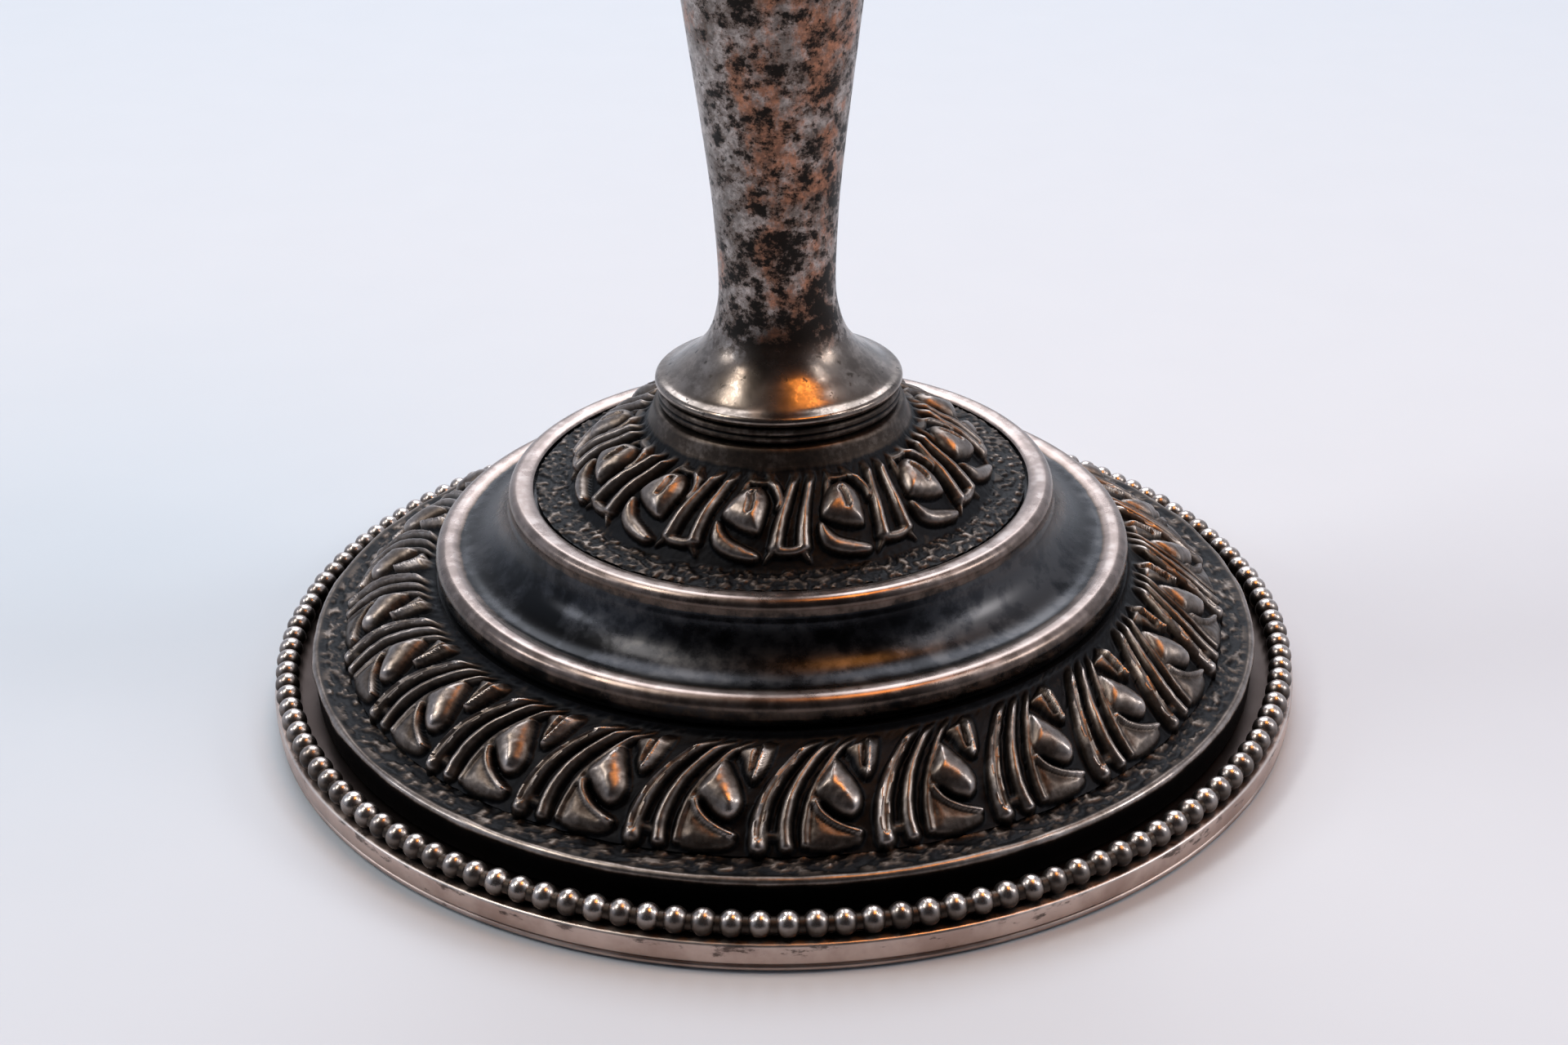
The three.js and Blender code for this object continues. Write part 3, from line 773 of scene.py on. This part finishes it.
def foot_cap():
    """The upper stamping: a punched ground, a band of leaves and a plain neck."""
    radius, low, _ = extent("foot_cap")
    columns = UPPER_LEAVES * 72
    outline = Outline("foot_cap", columns)
    outline.above([(-1.2, 0), (-0.1, 0), (-0.05, 0.7)], 0)
    ground = spaced(offset([(-0.1, 0.75), (-0.7, 0.9), (-2.9, 1.0), (-3.7, 1.1)], radius, low), 0.2)
    outline.embossed(ground, granules(len(ground), columns, 0.10), 0.14, None, 1.3)
    knots = [(-4.0, 1.2), (-4.8, 2.0), (-7.9, 4.9), (-10.7, 6.4), (-12.7, 7.6), (-13.8, 8.7)]
    bed = spaced(curve(offset(knots, radius, low)), 0.2)
    y = length_along(bed)
    relief = leaf_band(narrow_leaf, UPPER_LEAVES, columns, y, radius - 6.9, depth=12.6, turn=UPPER_TURN)
    relief += granules(len(bed), columns, 0.015)
    outline.embossed(bed, relief, LEAF_BASE, swirled(y, 10.7, 8.5, 1.8))
    neck = [(-14.1, 9.2), (-14.4, 9.8), (-14.6, 10.5), (-14.8, 11.0), (-15.1, 11.1)]
    outline.onward(neck, 0.37)
    back = [(-24.9, 11.1), (-24.9, 9.9), (-15.9, 9.9), (-13.5, 6.5), (-8.5, 3.7), (-5.2, 0.2)]
    outline.unwound(back, 0)
    place(turned("cap_stamping", outline, relief_plate, 70), "foot_cap")


def seat_ring():
    """The dark collar under the stem, with two rounded edges."""
    radius, low, high = extent("seat_ring")
    hole = 4.2
    outline = Outline("seat_ring", 256)
    outline.stretch([(hole, low), (radius - 0.6, low)], 0)
    outline.stretch(arc((radius - 0.55, low + 0.55), 0.55, -80, 20, 8), 0.36)
    outline.stretch([(radius - 0.25, (low + high) / 2)], 0.05)
    outline.stretch(arc((radius - 0.55, high - 0.5), 0.5, -20, 80, 8), 0.38)
    outline.stretch([(radius - 0.6, high), (hole, high)], 0)
    place(turned("seat_collar", outline, collar_plate), "seat_ring")


# ---- Stem ----

LIP_RADIUS = 14.85
LIP_EDGE = 0.62
# The flare up to the waist and the body above it, with heights from the stem's lower edge.
FLARE = [(13.3, 1.6), (11.7, 2.7), (9.85, 4.1), (8.35, 6.0), (7.35, 8.7), (6.9, 12.2)]
TRUMPET = [(7.15, 19.2), (7.85, 27.2), (10.1, 45.2), (13.2, 69.2), (15.5, 91.2), (16.2, 109.2)]


def stem():
    _, low, _ = extent("stem_shell")
    edge = arc((LIP_RADIUS - LIP_EDGE, low + LIP_EDGE), LIP_EDGE, -88, 66, 12)
    outside = curve([edge[-1], *offset(FLARE + TRUMPET, 0, low)], 12)
    inside = curve(offset(FLARE + TRUMPET, -SHEET, low), 5)[::-1]
    outline = Outline("stem_shell", 256)
    outline.stretch([(LIP_RADIUS - 1.95, low + 0.3)], 0.2)
    outline.stretch(edge, 0.7)
    outline.stretch(outside[1:], 0.8)
    outline.stretch(inside, 0.2)
    place(turned("stem_tube", outline, stem_plate), "stem_shell")


# ---- Shoulder, knop and capital ----


def shoulder_cap():
    """A domed cap with a band of small leaves, whose skirt goes into the stem."""
    radius, low, _ = extent("shoulder_cap")
    columns = SMALL_LEAVES * 64
    outline = Outline("shoulder_cap", columns)
    outline.above([(-3.5, 0), (-2.3, 0), (-2.3, 5.6), (-0.5, 5.6)], 0)
    outline.stretch(arc((radius - 0.5, low + 6.1), 0.5, -60, 90, 8), 0.75)
    outline.above([(-0.9, 6.6), (-1.2, 6.8)], 0.3)
    knots = [(-1.4, 6.9), (-2.2, 8.7), (-4.8, 11.4), (-7.6, 13.3), (-9.2, 14.3)]
    bed = spaced(curve(offset(knots, radius, low)), 0.17)
    y = length_along(bed)
    relief = leaf_band(narrow_leaf, SMALL_LEAVES, columns, y, radius - 4.8, depth=11.6, grow=0.738)
    outline.embossed(bed, relief, LEAF_BASE, swirled(y, 9.0, 12.0, 1.8))
    neck = [(-9.5, 15.1), (-9.9, 16.1), (-10.1, 17.1), (-10.2, 18.1), (-10.3, 18.9)]
    outline.onward(neck, 0.45)
    back = [(-13.2, 18.9), (-13.2, 17.7), (-11.4, 17.7), (-9.6, 13.1), (-5.6, 10.5), (-3.5, 7.1)]
    outline.unwound(back, 0)
    place(turned("shoulder_dome", outline, relief_plate, 70), "shoulder_cap")


def knop():
    """A swirled ball between two collars."""
    radius, low, high = extent("knop")
    lobes, collar = 14, 0.9
    columns = lobes * 32
    outline = Outline("knop", columns)
    outline.stretch([(ROD_HOLE, low), (radius - 4.0, low)], 0.1)
    outline.stretch(arc((radius - 3.9, low + collar), collar, -80, 75, 10), 0.7)
    outline.above([(-3.85, 1.9), (-4.0, 2.1)], 0.15)
    ball = arc((radius - 5.9, (low + high) / 2), 5.9, -54, 54, 40)
    relief = gadroons(len(ball), columns, lobes, 0.55)
    outline.embossed(ball, relief, 0.62, np.linspace(-18, 18, len(ball)))
    outline.below([(-4.0, -2.1), (-3.85, -1.9)], 0.15)
    outline.stretch(arc((radius - 3.9, high - collar), collar, -75, 80, 10), 0.7)
    outline.stretch([(radius - 4.0, high), (ROD_HOLE, high)], 0.1)
    place(turned("knop_turning", outline, satin_plate, 60), "knop")


def capital():
    """A vase with a band of leaves round its bowl, bored for the nozzle's spigot."""
    radius, low, high = extent("capital")
    bore, bore_floor = extent("nozzle_spigot")[0] + 0.3, low + 9.8
    columns = SMALL_LEAVES * 64
    outline = Outline("capital", columns)
    outline.stretch([(ROD_HOLE, low), (radius - 10.8, low)], 0.1)
    outline.stretch(arc((radius - 10.7, low + 0.7), 0.7, -80, 70, 8), 0.7)
    knots = [(-10.1, 1.8), (-7.2, 4.4), (-4.0, 8.1), (-2.6, 11.8), (-2.7, 16.4)]
    bed = spaced(curve(offset(knots, radius, low)), 0.2)
    y = length_along(bed)[::-1]
    relief = leaf_band(wide_leaf, SMALL_LEAVES, columns, y, radius - 4.0, depth=13.4, grow=0.8125)
    relief *= smooth_step(0.2, 2.0, y)[:, None]
    outline.embossed(bed, relief, LEAF_BASE, swirled(y, 13.0, 16.0, 2.0))
    knots = [(-2.5, 17.8), (-3.4, 21.4), (-3.9, 24.6), (-3.2, 28.6), (-1.1, 31.1)]
    upper = curve(offset(knots, radius, low), 6)
    outline.stretch(upper, edge_wear(upper, 0.5))
    outline.stretch(arc((radius - 0.8, high - 0.85), 0.82, -50, 90, 10), 0.85)
    outline.stretch([(radius - 1.8, high), (bore + 0.3, high), (bore, high - 0.3)], 0.6)
    inside = [(bore, high - 6.8), (bore, high - 14.8), (bore, bore_floor), (ROD_HOLE, bore_floor)]
    outline.stretch(inside, 0.15)
    place(turned("capital_vase", outline, relief_plate, 60), "capital")


# ---- Nozzle ----

PEG_RADIUS = 6.0


def nozzle_spigot():
    """The turned spigot, with a peg on top that holds the pan and the socket together."""
    radius, low, high = extent("nozzle_spigot")
    _, _, shoulder = extent("capital")
    peg = PEG_RADIUS - 0.3
    outline = Outline("nozzle_spigot", 192)
    outline.stretch([(0, low)], 0.5)
    outline.above([(-2.3, 0), (-0.8, 0), (-0.4, 0.2), (-0.1, 0.7), (0, 1.4)], 0.5)
    outline.stretch(offset([(0, -1.0), (-0.05, -0.1), (-0.2, 0)], radius, shoulder), 0.5)
    outline.stretch([(peg, shoulder), (peg, high - 0.4), (peg - 0.4, high), (0, high)], 0.5)
    place(turned("spigot_turning", outline, dull_brass), "nozzle_spigot", NOZZLE_BODY)


def drip_pan():
    """A shallow dish with a rolled edge and a fine groove round its seat."""
    radius, low, high = extent("drip_pan")
    outline = Outline("drip_pan", 384)
    outline.stretch([(PEG_RADIUS, low), (PEG_RADIUS + 4.0, low)], 0.4)
    under = curve(offset([(-20.7, 0), (-12.2, 1.6), (-5.2, 4.4), (-2.6, 6.5)], radius, low), 10)
    outline.stretch(under, edge_wear(under, 0.55))
    outline.stretch([(radius - 2.0, high - 1.2)], 0.3)
    outline.stretch(arc((radius - 0.6, high - 0.6), 0.6, -90, 90, 10), 0.85)
    outline.stretch([(radius - 1.6, high), (radius - 2.4, high - 0.05)], 0.2)
    upper = curve(offset([(-2.8, -0.4), (-5.8, -2.6), (-12.6, -5.25), (-18.0, -6.45)], radius, high), 10)
    outline.stretch(upper, np.linspace(0.35, 0.7, len(upper)))
    groove = [(-18.6, -6.45), (-18.9, -6.75), (-19.3, -6.5)]
    outline.below(groove, [0.5, 0.1, 0.5])
    seat = low + SHEET
    outline.stretch([(radius - 21.0, seat), (radius - 22.4, seat), (PEG_RADIUS, seat)], [0.4, 0.1, 0.1])
    place(turned("pan_spinning", outline, satin_plate), "drip_pan", NOZZLE_BODY)


def candle_socket():
    """A tall cup with a fluted foot and a flared mouth."""
    radius, low, high = extent("candle_socket")
    bore, bore_floor = radius - 4.2, low + 5.2
    peg_top = low + 3.2
    flutes = 24
    columns = flutes * 24
    outline = Outline("candle_socket", columns)
    outline.stretch([(0, peg_top), (PEG_RADIUS, peg_top), (PEG_RADIUS, low), (radius - 3.3, low)], 0.1)
    outline.stretch(arc((radius - 3.2, low + 0.8), 0.8, -80, 85, 10), 0.75)
    outline.above([(-3.7, 1.8), (-4.2, 2.3)], 0.15)
    knots = [(-4.35, 3.0), (-3.7, 4.8), (-2.8, 7.0), (-2.5, 11.4), (-2.5, 15.4)]
    cup = curve(offset(knots, radius, low), 9)
    outline.embossed(cup, gadroons(len(cup), columns, flutes, 0.4), 0.6, np.linspace(0, 14, len(cup)))
    knots = [(-2.5, 16.0), (-2.65, 19.4), (-2.65, 29.4), (-2.4, 32.8), (-1.3, 37.0), (-0.4, 38.6)]
    outline.stretch(curve(offset(knots, radius, low), 6), 0.66)
    outline.stretch(arc((radius - 0.7, high - 0.85), 0.78, -35, 90, 10), 0.85)
    knots = [(-1.4, -0.3), (-2.6, -1.8), (-3.6, -4.0), (-4.1, -6.6)]
    outline.stretch(curve(offset(knots, radius, high), 5), 0.6)
    well = [(bore, high - 8.0), (bore, high - 22.0), (bore, bore_floor), (0, bore_floor)]
    outline.stretch(well, [0.5, 0.3, 0.1, 0.1])
    place(turned("socket_spinning", outline, satin_plate, 60), "candle_socket", NOZZLE_BODY)


# ---- Inside and underneath ----

BOLT_HOLE = 3.3


def tie_rod():
    """The rod, with a thread at each end."""
    radius, low, high = extent("tie_rod")
    pitch, root, margin, length = 1.0, radius - 0.32, 0.6, 9.0
    threads = []
    for start in (low + margin, high - margin - length):
        thread = []
        for z in np.arange(start, start + length - pitch / 2, pitch):
            thread += [(root, z), (radius, z + 0.4 * pitch), (radius, z + 0.6 * pitch)]
        threads.append(thread + [(root, start + length)])
    plain = margin + length + 0.6
    outline = Outline("tie_rod", 48)
    outline.stretch([(0, low), (radius - 0.6, low)], 0.5)
    outline.stretch(threads[0], 0.5)
    outline.stretch([(radius, low + plain), (radius, high - plain)], 0.5)
    outline.stretch(threads[1], 0.5)
    outline.stretch([(radius - 0.6, high), (0, high)], 0.5)
    place(turned("rod", outline, dull_steel, 25), "tie_rod")


def hexagon_nut(name, node, material):
    """A hexagon nut whose corners are turned down at both ends."""
    _, low, high = extent(node)
    half_flats, columns = 5.0, 96
    angles = np.linspace(0, 360, columns, endpoint=False)
    flats = half_flats / np.cos(np.radians((angles + 30) % 60 - 30))
    chamfer = [(low, 0), (low + 0.35, 0.35), (low + 0.8, 0.8)]
    chamfer += [(high - 0.8, 0.8), (high - 0.35, 0.35), (high, 0)]
    outline = Outline(node, columns)
    outline.stretch([(BOLT_HOLE + 0.4, low)], 0.5)
    outline.stretch([(half_flats, z) for z, _ in chamfer], 0.5)
    outline.stretch([(BOLT_HOLE + 0.4, high), (BOLT_HOLE, high - 0.4), (BOLT_HOLE, low + 0.4)], 0.5)
    piece = turned(name, outline, material, sharp=30)
    corners = piece.data.vertices
    for row, (_, rise) in enumerate(chamfer, start=1):
        for column, reach in enumerate(np.minimum(flats, half_flats + rise)):
            corner = corners[row * columns + column]
            corner.co.xy = corner.co.xy.normalized() * reach * MM
    place(piece, node)


def washer(name, node, material):
    radius, low, high = extent(node)
    outline = Outline(node, 96)
    outline.stretch([(BOLT_HOLE, low), (radius - 0.3, low), (radius, low + 0.3)], 0.5)
    outline.stretch([(radius, high - 0.3), (radius - 0.3, high), (BOLT_HOLE, high)], 0.5)
    place(turned(name, outline, material, sharp=30), node)


def base_plate():
    radius, low, high = extent("base_plate")
    outline = Outline("base_plate", 192)
    outline.stretch([(0, low), (radius * 0.5, low), (radius - 0.4, low), (radius, low + 0.3)], 0.5)
    outline.stretch([(radius, high - 0.3), (radius - 0.4, high), (radius * 0.5, high), (0, high)], 0.5)
    place(turned("closing_plate", outline, dull_steel), "base_plate")


def baize_pad():
    """The round cloth, with a slightly frayed edge."""
    radius, low, high = extent("baize_pad")
    columns = 256
    outline = Outline("baize_pad", columns)
    outline.stretch(spaced([(0, low), (radius - 0.5, low)], 2.0), 0.5)
    frayed = softened(random.standard_normal((1, columns)), 0, 1)
    edge = [(radius - 0.2, low + 0.15), (radius - 0.1, (low + high) / 2), (radius - 0.2, high - 0.15)]
    outline.stretch(edge, 0.5, np.repeat(0.06 * frayed / frayed.std(), len(edge), axis=0))
    outline.stretch(spaced([(radius - 0.5, high), (0, high)], 2.0), 0.5)
    pad = turned("baize_disc", outline, green_baize, 60)
    place(pad, "baize_pad")


def loading():
    """The pitch inside keeps its CAD shape and gets its own material."""
    for node in ("foot_loading", "stem_loading"):
        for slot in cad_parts[node].material_slots:
            slot.material = pitch_black


# ---- Stage ----

DARK_ROOM = (0.035, 0.035, 0.040)
# Parts of the sky: the direction each lies in, where it starts and is full, and its colour.
SKY_PARTS = [
    ((0.0, 0.45, 0.90), 0.84, 0.99, (0.42, 0.37, 0.33)),
    ((0.0, 1.0, 0.0), 0.50, 0.90, (0.84, 0.89, 1.0)),
    ((1.0, 0.15, 0.2), 0.5, 0.9, (0.62, 0.66, 0.75)),
    ((-1.0, 0.15, 0.2), 0.55, 0.9, (0.50, 0.56, 0.67)),
]


def floor():
    """A sheet of pale paper just under the foot."""
    made = Finish("pale paper", Roughness=0.75)
    grain = made.noise(60.0, 3.0, 0.5)
    made.finish(Base_Color=made.blend(grain, (0.565, 0.60, 0.65), (0.585, 0.62, 0.67)))
    bpy.ops.mesh.primitive_plane_add(size=8, location=(0, 0, -0.0002))
    ground = bpy.context.object
    ground.name = "paper_floor"
    ground.data.materials.append(made.material)


def sky():
    """A pale backdrop and sides, a dim ceiling, and a dark room in front."""
    world = bpy.data.worlds.new("studio")
    world.use_nodes = True
    bpy.context.scene.world = world
    made = Nodes(world.node_tree)
    direction = made.node("TexCoord", {}, "Generated")
    colour = DARK_ROOM
    for aim, low, high, bright in SKY_PARTS:
        part = made.between(made.along(direction, Vector(aim).normalized()), low, high)
        colour = made.blend(part, colour, bright)
    made.set(made.tree.nodes["Background"], "Color", colour)


def lamp(name, stand, width, length, power, colour, along=(0.0, 1.0, 0.0)):
    """A soft box that shines at the middle of the foot, with its length along a direction."""
    data = bpy.data.lights.new(name, "AREA")
    data.shape = "RECTANGLE"
    data.size = width
    data.size_y = length
    data.energy = power
    data.color = colour
    facing = (Vector(stand) - Vector((0.0, 0.0, 0.03))).normalized()
    across = Vector(along).cross(facing).normalized()
    turn = Matrix((across, facing.cross(across), facing)).transposed()
    box = bpy.data.objects.new(name, data)
    box.matrix_world = Matrix.LocRotScale(Vector(stand), turn, None)
    bpy.context.scene.collection.objects.link(box)


def lamps():
    """Two strips overhead, a box at each side, a small warm lamp and a large box behind."""
    lamp("left strip", (-0.525, -0.035, 0.88), 0.10, 0.46, 2.8, (1.0, 0.96, 0.88), (0.23, 0.43, 0.20))
    lamp("left box", (-0.78, 0.0, 0.46), 0.16, 0.16, 1.0, (0.93, 0.97, 1.0))
    lamp("right strip", (0.57, -0.10, 0.85), 0.06, 0.40, 1.0, (1.0, 0.99, 0.98), (-0.23, 0.43, 0.20))
    lamp("right box", (0.80, -0.05, 0.50), 0.20, 0.20, 1.6, (1.0, 0.99, 0.98))
    lamp("warm lamp", (0.150, -0.05, 0.54), 0.13, 0.18, 0.66, (1.0, 0.36, 0.06))
    lamp("back box", (0.0, 0.90, 1.15), 1.0, 1.0, 15.0, (0.88, 0.93, 1.0))


def camera():
    """Stands in front of the foot and a little above it, with a slight roll."""
    data = bpy.data.cameras.new("camera")
    data.lens = 50
    data.sensor_width = 36
    stand = Vector((0.0, -0.24082, 0.14207))
    aim = Vector((0.00033, 0.0, 0.01934))
    roll = Quaternion((0, 0, 1), math.radians(-0.95))
    view = bpy.data.objects.new("camera", data)
    view.location = stand
    view.rotation_mode = "QUATERNION"
    view.rotation_quaternion = (aim - stand).to_track_quat("-Z", "Y") @ roll
    bpy.context.scene.collection.objects.link(view)
    bpy.context.scene.camera = view


# ---- The whole ----

foot_rim()
bead_border("foot_beads", "foot_bead_border", 134, 1.46, 0.9, FOOT_BODY)
dome_edge()
dome_band()
foot_cove()
foot_cap()
seat_ring()
stem()
bead_border("shoulder_beads", "shoulder_bead_border", 40, 1.13, 0.7, FOOT_BODY)
shoulder_cap()
knop()
capital()
nozzle_spigot()
drip_pan()
bead_border("pan_beads", "pan_bead_border", 88, 1.13, 0.7, NOZZLE_BODY)
candle_socket()
tie_rod()
hexagon_nut("foot_hexagon", "foot_nut", dull_steel)
hexagon_nut("capital_hexagon", "capital_nut", dull_brass)
washer("foot_disc", "foot_washer", dull_steel)
washer("capital_disc", "capital_washer", dull_brass)
base_plate()
baize_pad()
loading()
floor()
sky()
lamps()
camera()
bpy.context.scene.view_settings.view_transform = "Standard"
